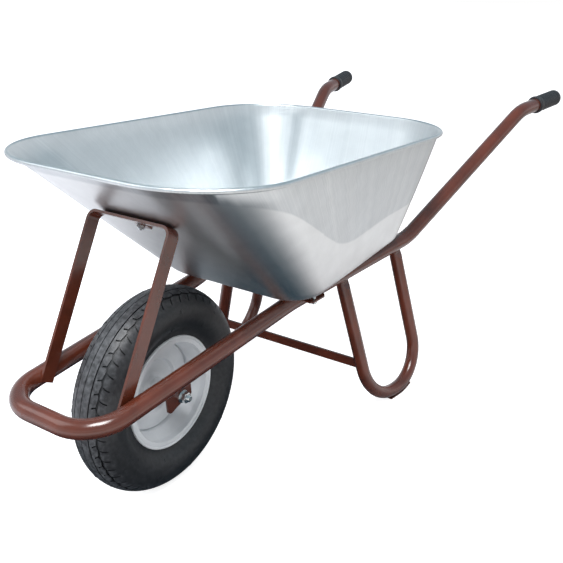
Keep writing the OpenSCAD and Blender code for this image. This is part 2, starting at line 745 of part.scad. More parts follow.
tube_gap = 0.3;
stem_d = 9;
stem_foot = section_r - tyre_half_h + crown_wall;
stem_end = 62;
cap_d = 10;
stem_z = 5;
module inner_tube() {
    half_h = tyre_half_h - crown_wall - tube_gap;
    half_w = tyre_w / 2 - side_wall - tube_gap;
    on_axle() color("#26272A") difference() {
        rotate_extrude($fn = 96) difference() {
            polygon(oval(0, 345, 15, half_h, half_w));
            polygon(oval(0, 345, 15, half_h - inner_wall, half_w - inner_wall));
        }
        valve_line(4, 30, 0);
    }
}
// A round bar along the valve's line, from the inner tube towards the hub
module valve_line(d, above, end) {
    translate([0, -end, stem_z]) rotate([90, 0, 0]) cylinder(h = stem_foot + above - end, d = d);
}
module valve_stem() {
    on_axle() color("#1F2023") difference() {
        union() {
            valve_line(stem_d, 1.5, stem_end);
            translate([0, -stem_end + 12, stem_z]) rotate([90, 0, 0]) cylinder(h = 14, d = stem_d - 3);
        }
        translate([0, 20, 0]) valve_line(3, 24, stem_end);
        rotate_extrude($fn = 96) polygon(oval(0, 345, 15, tyre_half_h - crown_wall - tube_gap,
            tyre_w / 2 - side_wall - tube_gap));
    }
}
module valve_cap() {
    on_axle() color("#1F2023") translate([0, -stem_end, stem_z]) rotate([-90, 0, 0]) difference() {
        cylinder(h = 14, d = cap_d);
        translate([0, 0, -1]) cylinder(h = 13, d = stem_d - 3);
    }
}

// Half the rim's section is a flange, a seat for the bead and a cone or step down to the well
module wheel_rim() {
    w = rim_w / 2;
    t = rim_wall;
    far = well_place + well_w;
    lift = t * 0.4;
    tyre_side = [[rim_r, w - t], [seat_r, w - t], [seat_r, seat_place], [well_r, -well_place], [well_r, -far],
        [seat_r, -far - well_step], [seat_r, t - w], [rim_r, t - w]];
    hub_side = [[rim_r, -w], [seat_r - t, -w], [seat_r - t, -far - well_step - lift], [well_r - t, -far - lift],
        [well_r - t, -well_place + lift], [seat_r - t, seat_place + lift], [seat_r - t, w], [rim_r, w]];
    on_axle() color("#B4B6BC") difference() {
        union() {
            rotate_extrude($fn = 96) polygon(concat(tyre_side, hub_side));
            for (m = [0, 1]) mirror([0, 0, m]) rotate_extrude($fn = 96)
                translate([rim_r - lip_d / 2, w + lip_d / 2 - t]) circle(d = lip_d);
        }
        valve_line(stem_d + 0.6, 1, 70);
    }
}

module wheel_disc() {
    r = well_r - rim_wall;
    q = recess_d / 2;
    n = -disc_offset;
    t = disc_wall;
    p = recess_depth;
    on_axle() color("#B4B6BC") rotate_extrude($fn = 96) polygon([[r, n - 3], [r - 3, n], [q + p, n], [q, n - p],
        [hub_r + 9, n - p], [hub_r, n - p + 5], [hub_r, n - p - t + 3], [hub_r + 9 - 1, n - p - t],
        [q + 1, n - p - t], [q + p + 1, n - t], [r - t - 2, n - t], [r - t, n - t - 2],
        [r - t, -well_place - well_w], [r, -well_place - well_w]]);
}

module hub_tube() {
    on_axle() color("#A4A6AC") difference() {
        cylinder(h = hub_length, r = hub_r, center = true);
        cylinder(h = hub_length + 2, r = hub_r - hub_wall, center = true);
    }
}
module bush() {
    translate([0, 0, hub_length / 2]) difference() {
        union() {
            translate([0, 0, -bush_length]) cylinder(h = bush_length, r = hub_r - hub_wall);
            cylinder(h = bush_flange, r = hub_r - 1);
        }
        translate([0, 0, -bush_length - 1]) cylinder(h = bush_length + bush_flange + 2, r = axle_r + run_gap);
    }
}
module left_bush() { on_axle() color("#202124") bush(); }
module right_bush() { mirrored() on_axle() color("#202124") bush(); }

// ---- Axle, its brackets and spacers ----
washer_out = bracket_space + bracket_t + axle_washer_t;
slot_reach = 2 * bracket_space;
module axle_bolt() {
    on_axle() color("#C4C7C9") {
        translate([0, 0, -washer_out]) cylinder(h = 2 * washer_out + axle_nut_h + axle_stub, r = axle_r);
        translate([0, 0, -washer_out - axle_head_h]) cylinder(h = axle_head_h, d = axle_af / cos(30), $fn = 6);
    }
}
module axle_nut() {
    on_axle() color("#C4C7C9") translate([0, 0, washer_out]) difference() {
        cylinder(h = axle_nut_h, d = axle_af / cos(30), $fn = 6);
        translate([0, 0, -1]) cylinder(h = axle_nut_h + 2, r = axle_r);
    }
}
module axle_washers() {
    on_axle() color("#C4C7C9") for (m = [0, 1]) mirror([0, 0, m])
        translate([0, 0, bracket_space + bracket_t]) difference() {
            cylinder(h = axle_washer_t, d = axle_washer_d);
            translate([0, 0, -1]) cylinder(h = axle_washer_t + 2, r = axle_r + slot_gap);
        }
}
module spacer() {
    start = hub_length / 2 + bush_flange + side_play;
    translate([0, 0, start]) difference() {
        cylinder(h = bracket_space - start, r = hub_r - hub_wall - 3);
        translate([0, 0, -1]) cylinder(h = bracket_space - start + 2, r = axle_r + slot_gap);
    }
}
module left_spacer() { on_axle() color("#9DA0A5") spacer(); }
module right_spacer() { mirrored() on_axle() color("#9DA0A5") spacer(); }

// The bracket: a plate with an open slot for the axle, which turns out above it to the rail's underside.
// In the bracket's frame X points out along the axle, Y points down and Z runs back under the rail.
module axle_bracket() {
    p = rail_p(0);
    dir = unit([0, spread_p[1] - nose_p[1], spread_p[2] - nose_p[2]]);
    down = cross(dir, [1, 0, 0]);
    v = [0, 0, axle_h] - p;
    along = v * dir;
    drop = v * down;
    inner = bracket_space - p[0];
    knee = [inner, bracket_knee];
    weld = [-tube_r * 0.4, tube_r * 0.5];
    under = bracket_t * [unit(knee - weld)[1], -unit(knee - weld)[0]];
    slot_r = axle_r + slot_gap;
    difference() {
        multmatrix(frame(p, [1, 0, 0], dir)) union() {
            translate([0, 0, along - bracket_front]) linear_extrude(bracket_front + bracket_rear)
                polygon([knee, weld, weld + under, [inner + bracket_t, bracket_knee + bracket_t / 2],
                    [inner + bracket_t, bracket_knee + bracket_t], [inner, bracket_knee + bracket_t]]);
            translate([inner, 0, 0]) rotate([0, 90, 0]) linear_extrude(bracket_t)
                translate([-along, 0]) polygon([[bracket_front, bracket_knee + 1], [bracket_front, drop + front_lobe - 6],
                    [bracket_front - 4, drop + front_lobe - 2], [bracket_front - 9, drop + front_lobe],
                    [slot_r + 8, drop + front_lobe - 5], [-slot_r - 4, drop + rear_lobe],
                    [4 - bracket_rear, drop + rear_lobe], [-bracket_rear, drop + rear_lobe - 4],
                    [-bracket_rear, bracket_knee + 1]]);
        }
        translate([0, 0, axle_h]) rotate([0, 90, 0]) cylinder(h = slot_reach, r = slot_r);
        translate([0, -slot_r, axle_h - slot_reach]) cube([slot_reach, 2 * slot_r, slot_reach]);
        rail_cut();
    }
}
module left_axle_bracket() { placed() color("#5A3026") axle_bracket(); }
module right_axle_bracket() { placed() color("#5A3026") mirrored() axle_bracket(); }

frame_tube();
left_leg();
right_leg();
left_wear_plate();
right_wear_plate();
leg_brace();
front_strap();
strap_tab();
left_axle_bracket();
right_axle_bracket();
side_tabs();
left_grip();
right_grip();
tray();
rim_wire();
tray_bolts();
tray_washers();
tray_nuts();
tyre();
inner_tube();
valve_stem();
valve_cap();
wheel_rim();
wheel_disc();
hub_tube();
left_bush();
right_bush();
axle_bolt();
axle_nut();
axle_washers();
left_spacer();
right_spacer();
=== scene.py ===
# %% [markdown]
# # A builder's wheelbarrow
# A builder's barrow is five things held together by a few bolts: one long bent tube, two looped
# legs, a pressed tray with a rolled edge, a flat strap that holds up the tray's nose, and an
# air-filled wheel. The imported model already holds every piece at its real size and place, so this
# lesson loads it first and then gives each piece the form and the finish that the eye expects.

# %% Load the frame
import json
import math

import bmesh
import bpy
from mathutils import Matrix, Vector


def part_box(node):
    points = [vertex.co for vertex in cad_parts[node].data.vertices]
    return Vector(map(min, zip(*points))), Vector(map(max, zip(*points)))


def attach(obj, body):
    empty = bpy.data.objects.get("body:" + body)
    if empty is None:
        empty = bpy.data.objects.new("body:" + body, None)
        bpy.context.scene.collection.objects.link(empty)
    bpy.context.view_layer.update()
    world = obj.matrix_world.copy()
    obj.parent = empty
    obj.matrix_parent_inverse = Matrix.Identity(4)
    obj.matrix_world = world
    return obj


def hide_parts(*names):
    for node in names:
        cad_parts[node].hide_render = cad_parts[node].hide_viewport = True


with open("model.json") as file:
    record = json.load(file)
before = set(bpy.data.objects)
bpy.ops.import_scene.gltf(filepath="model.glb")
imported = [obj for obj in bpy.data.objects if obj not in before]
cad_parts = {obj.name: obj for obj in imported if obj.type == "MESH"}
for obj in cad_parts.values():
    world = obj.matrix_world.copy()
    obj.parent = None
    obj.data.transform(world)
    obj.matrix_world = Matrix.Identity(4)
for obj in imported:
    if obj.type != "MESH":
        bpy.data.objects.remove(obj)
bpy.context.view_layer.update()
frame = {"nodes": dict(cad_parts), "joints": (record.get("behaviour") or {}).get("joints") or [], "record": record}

nodes = frame["nodes"]
axle = Vector(frame["joints"][0]["pos_m"])
print("the axle is at", [round(c, 4) for c in axle])

# %% [markdown]
# ## Small helpers
# An operator acts on everything that is selected, and the loaded nodes arrive selected. So each
# piece starts by clearing the selection. Faces and edges are picked in code by where they lie,
# which is what a hand does with the mouse.

# %% Helpers for selecting and finishing
def start():
    """Nothing selected, ready for a new primitive."""
    if bpy.context.object and bpy.context.object.mode != "OBJECT":
        bpy.ops.object.mode_set(mode="OBJECT")
    bpy.ops.object.select_all(action="DESELECT")


def select_only(*objects):
    start()
    for o in objects:
        o.select_set(True)
    bpy.context.view_layer.objects.active = objects[0]


def pick(obj, kind, test):
    """In edit mode, select the vertices, edges or faces whose middle passes the test."""
    bpy.ops.mesh.select_mode(type={"verts": "VERT", "edges": "EDGE", "faces": "FACE"}[kind])
    bpy.ops.mesh.select_all(action="DESELECT")
    mesh = bmesh.from_edit_mesh(obj.data)
    count = 0
    for e in getattr(mesh, kind):
        middle = e.co if kind == "verts" else sum((v.co for v in e.verts), Vector()) / len(e.verts)
        if test(e, middle):
            e.select_set(True)
            count += 1
    mesh.select_flush_mode()
    bmesh.update_edit_mesh(obj.data)
    return count


def smooth(obj, degrees=35):
    select_only(obj)
    bpy.ops.object.shade_smooth_by_angle(angle=math.radians(degrees))


def outwards(obj):
    """Merge doubles and turn every face outwards."""
    select_only(obj)
    bpy.ops.object.mode_set(mode="EDIT")
    bpy.ops.mesh.select_all(action="SELECT")
    bpy.ops.mesh.remove_doubles(threshold=1e-5)
    bpy.ops.mesh.normals_make_consistent(inside=False)
    bpy.ops.object.mode_set(mode="OBJECT")


def modify(obj, kind, **settings):
    """Add a modifier and apply it at once."""
    select_only(obj)
    modifier = obj.modifiers.new(kind.title(), kind)
    for name, value in settings.items():
        setattr(modifier, name, value)
    bpy.ops.object.modifier_apply(modifier=modifier.name)


def settle(obj):
    """Put an object's place into its mesh, so that the object sits at the origin."""
    select_only(obj)
    bpy.ops.object.transform_apply(location=True, rotation=True, scale=True)


# %% [markdown]
# ## Finishes
# Colours are written as a painter would read them off a chart, in sRGB hex. One function turns
# them to the linear values that the shader needs, and one function adds a node with its settings
# and its links.

# %% Colour and node helpers
def colour(code):
    """An sRGB hex colour as linear red, green, blue and alpha."""
    parts = [int(code[i : i + 2], 16) / 255 for i in (1, 3, 5)]
    return [c / 12.92 if c <= 0.04045 else ((c + 0.055) / 1.055) ** 2.4 for c in parts] + [1]


def put(tree, kind, inputs=None, stops=(), **settings):
    """Add one node. An input is a value, or a socket to link from.

    The stops of a ramp are a position and a hex colour or a height, the two end stops first.
    """
    node = tree.nodes.new("ShaderNode" + kind)
    for name, value in settings.items():
        setattr(node, name, value)
    for name, value in (inputs or {}).items():
        if isinstance(value, bpy.types.NodeSocket):
            tree.links.new(value, node.inputs[name])
        else:
            node.inputs[name].default_value = value
    for i, (position, shade) in enumerate(stops):
        elements = node.color_ramp.elements
        element = elements[i] if i < 2 else elements.new(position)
        element.position = position
        element.color = colour(shade) if isinstance(shade, str) else (shade, shade, shade, 1)
    return node


def per_metre(mm):
    """The scale of a noise whose grains are this far apart, to two figures."""
    return float(f"{1000 / mm:.2g}")


def finish(name, **settings):
    """A new material, its tree, its surface shader and its Object coordinates."""
    material = bpy.data.materials.new(name)
    material.use_nodes = True
    tree = material.node_tree
    surface = tree.nodes["Principled BSDF"]
    for key, value in settings.items():
        surface.inputs[key.replace("_", " ")].default_value = value
    place = put(tree, "TexCoord").outputs["Object"]
    return material, tree, surface, place


def dress(obj, material):
    obj.data.materials.clear()
    obj.data.materials.append(material)


# %% [markdown]
# The frame is mild steel tube, sprayed with gloss enamel. That gives the eye one even colour with
# a clear, slightly soft highlight, so the clear coat carries the gloss and the base only clouds.

# %% Red-brown enamel on the steel tube
def red_brown_enamel():
    """Sprayed gloss enamel: an even colour under a soft highlight, with a faint orange peel."""
    material, tree, surface, place = finish("red_brown_enamel", IOR=1.5, Coat_Weight=0.6,
                                            Coat_Roughness=0.22)
    clouds = put(tree, "TexNoise", {"Vector": place, "Scale": per_metre(62), "Detail": 4.0})
    shade = put(tree, "ValToRGB", {"Fac": clouds.outputs["Fac"]},
                stops=((0.3, "#4A2114"), (0.7, "#602B1A")))
    tree.links.new(shade.outputs["Color"], surface.inputs["Base Color"])
    gloss = put(tree, "MapRange", {"Value": clouds.outputs["Fac"], "From Min": 0.3, "From Max": 0.7,
                                   "To Min": 0.19, "To Max": 0.25})
    tree.links.new(gloss.outputs["Result"], surface.inputs["Roughness"])
    # A real peel is finer, and is drawn this coarse so that it shows
    peel = put(tree, "TexNoise", {"Vector": place, "Scale": per_metre(4.2), "Detail": 1.0})
    bump = put(tree, "Bump", {"Height": peel.outputs["Fac"], "Strength": 0.07, "Distance": 0.001})
    tree.links.new(bump.outputs["Normal"], surface.inputs["Normal"])
    return material


# %% [markdown]
# The tray is steel sheet that was galvanised first and pressed afterwards. The press draws the zinc
# out into streaks that run down the walls, most of all above the line where the sheet first met the
# edge of the punch. A pattern on the object's own coordinates would run straight through the
# corners, so the streaks follow an attribute, which the tray gets when its sheet is made.

# %% Galvanised sheet, streaked where the press drew it
draw_front, draw_rear = -0.66, -0.06  # where the straight of the tray's side walls begins and ends
# The lower end of the drawn part, as a share of the wall's height, at places along that straight
draw_line = ((0.0, 0.95), (1.0, 0.4), (0.28, 0.86), (0.5, 0.32), (0.75, 0.36))
streak_stretch = 0.0008
mark_size = 0.4


def galvanised_sheet():
    """Drawn zinc: a dull metal, streaked the way that each point of the sheet was drawn."""
    material, tree, surface, place = finish("galvanised_sheet", Metallic=1.0)
    way = put(tree, "Attribute", attribute_name="way").outputs["Vector"]
    parts = put(tree, "SeparateXYZ", {"Vector": way})
    long = put(tree, "Mapping", {"Vector": way, "Scale": (1.0, 1.0, streak_stretch)})
    streak = long.outputs["Vector"]
    fine = put(tree, "TexNoise", {"Vector": streak, "Scale": per_metre(3), "Detail": 2.0})
    broad = put(tree, "TexNoise", {"Vector": streak, "Scale": per_metre(26), "Detail": 2.0})
    clouds = put(tree, "TexNoise", {"Vector": place, "Scale": per_metre(45), "Detail": 5.0,
                                    "Roughness": 0.6})
    along = put(tree, "MapRange", {"Value": parts.outputs["Y"], "From Min": draw_front,
                                   "From Max": draw_rear})
    line = put(tree, "ValToRGB", {"Fac": along.outputs["Result"]}, stops=draw_line)
    line.color_ramp.interpolation = "B_SPLINE"
    above = put(tree, "Math", {0: parts.outputs["Z"], 1: line.outputs["Color"]},
                operation="SUBTRACT")
    outside = put(tree, "MapRange", {"Value": above.outputs["Value"], "From Min": -0.006,
                                     "From Max": 0.012})
    facing = put(tree, "SeparateXYZ", {"Vector": put(tree, "NewGeometry").outputs["Normal"]})
    inside = put(tree, "Math", {0: facing.outputs["Z"], 1: 0.0}, operation="GREATER_THAN")
    drawn = put(tree, "Math", {0: outside.outputs["Result"], 1: inside.outputs["Value"]},
                operation="MAXIMUM")
    streaks = put(tree, "Math", {0: fine.outputs["Fac"], 1: broad.outputs["Fac"]}, operation="ADD")
    centred = put(tree, "Math", {0: streaks.outputs["Value"], 1: 1.0}, operation="SUBTRACT")
    # The marks are strong where the sheet was drawn, and calmer on the inside
    share = put(tree, "MapRange", {"Value": drawn.outputs["Value"], "To Min": 0.25, "To Max": 1.0})
    calm = put(tree, "MapRange", {"Value": inside.outputs["Value"], "To Min": 1.0, "To Max": 0.6})
    weight = put(tree, "Math", {0: share.outputs["Result"], 1: calm.outputs["Result"]},
                 operation="MULTIPLY")
    marks = put(tree, "Math", {0: centred.outputs["Value"], 1: weight.outputs["Value"]},
                operation="MULTIPLY")
    rough = put(tree, "MapRange", {"Value": marks.outputs["Value"], "From Min": -mark_size,
                                   "From Max": mark_size, "To Min": 0.3, "To Max": 0.44})
    tree.links.new(rough.outputs["Result"], surface.inputs["Roughness"])
    # The drawn part is darker, and its marks stand out in tone as well
    darker = put(tree, "Math", {0: drawn.outputs["Value"], 1: -0.42}, operation="MULTIPLY")
    tone = put(tree, "MapRange", {"Value": marks.outputs["Value"], "From Min": -mark_size,
                                  "From Max": mark_size, "To Min": 0.66, "To Max": 1.04})
    both = put(tree, "Math", {0: tone.outputs["Result"], 1: darker.outputs["Value"]},
               operation="ADD")
    shade = put(tree, "ValToRGB", {"Fac": both.outputs["Value"]},
                stops=((0.0, "#BAC0C4"), (1.0, "#F8F9F9")))
    cloudy = put(tree, "MapRange", {"Value": clouds.outputs["Fac"], "From Min": 0.3,
                                    "From Max": 0.7, "To Min": 0.95, "To Max": 1.03})
    tint = put(tree, "VectorMath", {0: shade.outputs["Color"], "Scale": cloudy.outputs["Result"]},
               operation="SCALE")
    tree.links.new(tint.outputs["Vector"], surface.inputs["Base Color"])
    bump = put(tree, "Bump", {"Height": marks.outputs["Value"], "Strength": 0.12,
                              "Distance": 0.0004})
    tree.links.new(bump.outputs["Normal"], surface.inputs["Normal"])
    return material


# %% [markdown]
# The tyre and the grips are moulded rubber, the rim is steel sprayed with silver enamel, the bolts
# are bright zinc plate and the bushes are nylon. Rubber that has stood in a yard is never black: it
# greys with dust where it bulges and rolls. Its grooves are painted darker, as the shade in them.

# %% Tyre rubber and grip rubber
dust_from, dust_to = 0.176, 0.202  # distances from the axle between which the rubber greys


def tyre_rubber():
    """Moulded rubber: matt and near black, dusty towards the tread, with painted shade in the grooves."""
    material, tree, surface, place = finish("tyre_rubber", Roughness=0.46, IOR=1.52)
    off_axle = put(tree, "VectorMath", {0: place, 1: tuple(axle)}, operation="SUBTRACT")
    radial = put(tree, "VectorMath", {0: off_axle.outputs["Vector"], 1: (0.0, 1.0, 1.0)},
                 operation="MULTIPLY")
    radius = put(tree, "VectorMath", {0: radial.outputs["Vector"]}, operation="LENGTH")
    dust = put(tree, "TexNoise", {"Vector": place, "Scale": per_metre(7.7), "Detail": 3.0})
    edge = put(tree, "MapRange", {"Value": radius.outputs["Value"], "From Min": dust_from,
                                  "From Max": dust_to})
    worn = put(tree, "Math", {0: edge.outputs["Result"], 1: dust.outputs["Fac"]},
               operation="MULTIPLY")
    low = put(tree, "MapRange", {"Value": dust.outputs["Fac"], "From Min": 0.35, "From Max": 0.7,
                                 "To Max": 0.35})
    dusty = put(tree, "Math", {0: worn.outputs["Value"], 1: low.outputs["Result"]}, operation="ADD")
    # The grooves' pressed-in faces get the darkest tone: painted shade in the grooves.
    cut = put(tree, "Attribute", attribute_name="cut")
    groove_shade = put(tree, "MapRange", {"Value": cut.outputs["Fac"], "To Min": 1.0, "To Max": 0.0})
    tone = put(tree, "Math", {0: dusty.outputs["Value"], 1: groove_shade.outputs["Result"]},
               operation="MULTIPLY")
    shade = put(tree, "ValToRGB", {"Fac": tone.outputs["Value"]},
                stops=((0.0, "#1E1F22"), (1.0, "#54565A"), (0.35, "#2C2D30")))
    tree.links.new(shade.outputs["Color"], surface.inputs["Base Color"])
    # The mould's own grain is finer, and is drawn this coarse so that it shows
    grain = put(tree, "TexNoise", {"Vector": place, "Scale": per_metre(2.4), "Detail": 2.0})
    bump = put(tree, "Bump", {"Height": grain.outputs["Fac"], "Strength": 0.35, "Distance": 0.0006})
    tree.links.new(bump.outputs["Normal"], surface.inputs["Normal"])
    return material


def grip_rubber():
    """Moulded rubber that hands keep clean: matt and evenly dark."""
    material, tree, surface, place = finish("grip_rubber", Roughness=0.5, IOR=1.5)
    surface.inputs["Base Color"].default_value = colour("#232428")
    return material


# %% Rim enamel, zinc plate and nylon
def rim_enamel():
    """Silver enamel on pressed steel: a satin grey with a trace of metal in it."""
    material, tree, surface, place = finish("silver_grey_enamel", Metallic=0.1, Roughness=0.32)
    clouds = put(tree, "TexNoise", {"Vector": place, "Scale": per_metre(33), "Detail": 4.0})
    shade = put(tree, "ValToRGB", {"Fac": clouds.outputs["Fac"]},
                stops=((0.0, "#C2C7CC"), (1.0, "#E0E3E6")))
    tree.links.new(shade.outputs["Color"], surface.inputs["Base Color"])
    grain = put(tree, "TexNoise", {"Vector": place, "Scale": per_metre(1.43), "Detail": 1.0})
    bump = put(tree, "Bump", {"Height": grain.outputs["Fac"], "Strength": 0.1, "Distance": 0.0004})
    tree.links.new(bump.outputs["Normal"], surface.inputs["Normal"])
    return material


def zinc_plate():
    """Bright zinc plate: a smooth, pale metal whose tone clouds a little."""
    material, tree, surface, place = finish("bright_zinc_plate", Roughness=0.22, Metallic=1.0)
    clouds = put(tree, "TexNoise", {"Vector": place, "Scale": per_metre(6.2), "Detail": 3.0})
    shade = put(tree, "ValToRGB", {"Fac": clouds.outputs["Fac"]},
                stops=((0.0, "#C0C8D2"), (1.0, "#F2F2EC")))
    tree.links.new(shade.outputs["Color"], surface.inputs["Base Color"])
    return material


def black_nylon():
    """Moulded nylon: plain, dark and satin."""
    material, tree, surface, place = finish("black_nylon", Roughness=0.5)
    surface.inputs["Base Color"].default_value = colour("#222326")
    return material


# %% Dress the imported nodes
enamel = red_brown_enamel()
sheet = galvanised_sheet()
rubber = tyre_rubber()
soft_rubber = grip_rubber()
silver = rim_enamel()
zinc = zinc_plate()
nylon = black_nylon()
slots = {"frame_paint": enamel, "wear_steel": enamel, "galvanised_sheet": sheet,
         "grip_rubber": soft_rubber, "tyre_rubber": rubber, "tube_rubber": rubber,
         "rim_paint": silver, "zinc_steel": zinc, "black_plastic": nylon}
for part in frame["record"]["subparts"]:
    dress(nodes[part["node"]], slots[part["material_slot"]])
print("dressed", len(nodes), "nodes in", len(slots), "slots")

# %% [markdown]
# ## The tray
# A press draws the tray from one flat sheet, and a second tool rolls its edge outwards over a wire.
# A box with bevelled corners would pinch where the radius grows from the floor to the edge. So the
# tray is a stack of closed outlines here. Each is a plane whose corners are moved and bevelled
# round, and each pair is bridged, from the floor through the fillet, the wall and the roll.

# %% Sizes of the tray
tray_low, tray_high = (Vector(c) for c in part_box("tray"))
sheet_t = 0.001
roll_r = 0.0045
roll_lap = 1.2 * sheet_t  # how far the roll is set in from the line of the wall
roll_turn = 300  # degrees that the sheet rolls round its wire
wall_bulge = 0.0016
fillet_steps, wall_steps, roll_steps = 6, 8, 14
rim_half = tray_high.x
floor_half_front, floor_half_rear = 0.187, 0.202
front_lean, rear_lean = 0.387, 0.093  # how far the walls reach out beyond the floor
floor_front, floor_rear = tray_low.y + front_lean, tray_high.y - rear_lean
floor_r, rim_r_front, rim_r_rear = 0.074, 0.187, 0.178
fillet = 0.025
# The whole rise falls on the flat, which is two fillets shorter, so the flat is steeper than this
floor_slope, rim_fall = 0.1138, 0.04
floor_z_front = tray_low.z
floor_z_rear = tray_low.z + floor_slope * (floor_rear - floor_front)
rim_z_front, rim_z_rear = tray_high.z - roll_r, tray_high.z - roll_r - rim_fall
corner_cuts = 24
ring = 4 * (corner_cuts + 1)
print("the tray is", [round(c, 3) for c in tray_high - tray_low])


# %% One outline with round corners
def outline(half_front, half_rear, front, rear, z_front, z_rear, r_front, r_rear):
    """A plane with its corners moved and bevelled round, left as a wire outline."""
    start()
    bpy.ops.mesh.primitive_plane_add(size=1)
    obj = bpy.context.object
    for v in obj.data.vertices:
        ahead = v.co.y < 0
        half = half_front if ahead else half_rear
        v.co = (math.copysign(half, v.co.x), front if ahead else rear, z_front if ahead else z_rear)
    bpy.ops.object.mode_set(mode="EDIT")
    for ahead, radius in ((True, r_front), (False, r_rear)):
        edge = front if ahead else rear
        pick(obj, "verts", lambda v, c: abs(c.y - edge) < 1e-5 and len(v.link_edges) == 2)
        bpy.ops.mesh.bevel(offset=radius, segments=corner_cuts, affect="VERTICES", profile=0.5)
    bpy.ops.mesh.select_all(action="SELECT")
    bpy.ops.mesh.delete(type="ONLY_FACE")
    bpy.ops.object.mode_set(mode="OBJECT")
    return obj


def wall_outline(k, out=0.0, up=0.0):
    """The outside of the tray at a part k of the wall's height, moved outwards and up."""
    top_in = 2 * roll_r - roll_lap

    def mix(low, high):
        return low + (high - low) * k

    return outline(
        mix(floor_half_front, rim_half - top_in) + out, mix(floor_half_rear, rim_half - top_in) + out,
        mix(floor_front, tray_low.y + top_in) - out, mix(floor_rear, tray_high.y - top_in) + out,
        mix(floor_z_front, rim_z_front) + up, mix(floor_z_rear, rim_z_rear) + up,
        mix(floor_r, rim_r_front - top_in) + out, mix(floor_r, rim_r_rear - top_in) + out)


# %% Stack and bridge the outlines
fillet_k = 0.9 * fillet / (rim_z_front - floor_z_front)
turn_r = roll_r - sheet_t
stations = []
for i in range(fillet_steps + 1):
    share = i / fillet_steps
    stations.append((fillet_k * share * share, -fillet * (1 - share) ** 2, 0.0))
for i in range(1, wall_steps + 1):
    share = i / wall_steps
    bulge = wall_bulge * math.sin(math.pi * share)
    stations.append((fillet_k + (1 - fillet_k) * share, bulge, 0.0))
top_station = len(stations) - 1
for i in range(1, roll_steps + 1):
    a = math.radians(180 - i * roll_turn / roll_steps)
    stations.append((1.0, roll_r - roll_lap + turn_r * math.cos(a), turn_r * math.sin(a)))

tray = wall_outline(*stations[0])
tray.name = "tray_sheet"
for station in stations[1:]:
    layer = wall_outline(*station)
    select_only(tray, layer)
    bpy.ops.object.join()
bpy.ops.object.mode_set(mode="EDIT")
for i in range(len(stations) - 1):
    pick(tray, "edges",
         lambda e, c: e.verts[0].index // ring == e.verts[1].index // ring in (i, i + 1))
    bpy.ops.mesh.bridge_edge_loops()
pick(tray, "edges", lambda e, c: max(v.index for v in e.verts) < ring)
bpy.ops.mesh.edge_face_add()
bpy.ops.object.mode_set(mode="OBJECT")
print("the tray has", len(tray.data.polygons), "faces in", len(stations), "outlines")

# %% [markdown]
# The wall carries marks of the drawing, which run down it from the edge. Each point therefore
# remembers the point of the top outline that it was drawn from, and its height on the wall, and
# the finish is laid along those. Then the skin gets its thickness, inwards.

# %% Remember the way of the sheet, then give it a thickness
top = [tray.data.vertices[top_station * ring + j].co.copy() for j in range(ring)]
way = tray.data.attributes.new("way", "FLOAT_VECTOR", "POINT")
for v in tray.data.vertices:
    j = v.index % ring
    level = stations[v.index // ring][0]
    way.data[v.index].vector = (top[j].x, top[j].y, level)
select_only(tray)
bpy.ops.object.mode_set(mode="EDIT")
bpy.ops.mesh.select_all(action="SELECT")
bpy.ops.mesh.normals_make_consistent(inside=False)
bpy.ops.object.mode_set(mode="OBJECT")
if max(tray.data.polygons, key=lambda f: f.area).normal.z > 0:
    bpy.ops.object.mode_set(mode="EDIT")
    bpy.ops.mesh.flip_normals()
    bpy.ops.object.mode_set(mode="OBJECT")
modify(tray, "SOLIDIFY", thickness=sheet_t, offset=-1, use_even_offset=True)
smooth(tray, 40)
dress(tray, sheet)
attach(tray, "frame")
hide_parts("tray")
print("the tray's box", [[round(c, 4) for c in p] for p in (tray_low, tray_high)],
      [round(c, 4) for c in tray.dimensions])

# %% [markdown]
# ## The tyre
# The tyre is moulded. Its tread is cut by grooves: a zigzag one round each shoulder, a thin one
# beside the middle, and cross grooves that part the rows into blocks. A torus has the right flow of
# faces, one way round the wheel and one way round the section. Its rows are put on the grooves'
# edges, and the grooves' faces are then pressed in.

# %% Sizes of the tyre
tyre_low, tyre_high = (Vector(c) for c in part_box("tyre"))
tyre_r = (tyre_high.z - tyre_low.z) / 2
tyre_half_w = tyre_high.x
flange_r = 0.113
middle_r = (tyre_r + flange_r) / 2
section_h = (tyre_r - flange_r) / 2
seat_r = 0.1016
flange_in = 0.0309
pitches = 50
pitch = 2 * math.pi * tyre_r / pitches
print("the tyre is", round(2 * tyre_r, 4), "across; one block of the tread takes", round(pitch, 4))

# %% Rows across the section, in metres round it from the crown
middle_w, thin_in, thin_out, blind, ditch_in, ditch_out, cross_end, rib_end = (
    0.0008, 0.0143, 0.0166, 0.0205, 0.0296, 0.0328, 0.0470, 0.0610)
rib_start, wall_row, wall_rows = 0.052, 0.0072, 7
half_rows = [0.0, middle_w, 0.006, 0.011, thin_in, thin_out, blind, 0.0255, ditch_in, ditch_out,
             0.0345, 0.037, 0.040, 0.0435, cross_end, rib_start, 0.0565, rib_end]
half_rows += [rib_end + wall_row * i for i in range(1, wall_rows + 1)]
# One pitch of the tread has a cross groove of the shoulder row, then one of the inner row
inner_share = 0.65
columns = [(0.0, -1), (0.0, 1), (0.33, 0), (inner_share, -1), (inner_share, 1)]
cut_w, rib_share = 0.0031, 0.45  # a fine rib is this share of a groove's width
jog, jog_reach = 0.0021, 0.008
inner_sweep, outer_sweep, sweep_run, sweep_curve = 0.13, 0.34, 0.019, 2.2
deep_cut, shallow_cut, rib_height = -0.0038, -0.0036, 0.0007


def section_point(s):
    """Distance from the axle and across it, for a length s round the section from its crown."""
    quarter = math.pi / 2 * (section_h + tyre_half_w) / 2
    t = s / quarter * math.pi / 2
    return middle_r + section_h * math.cos(t), tyre_half_w * math.sin(t)


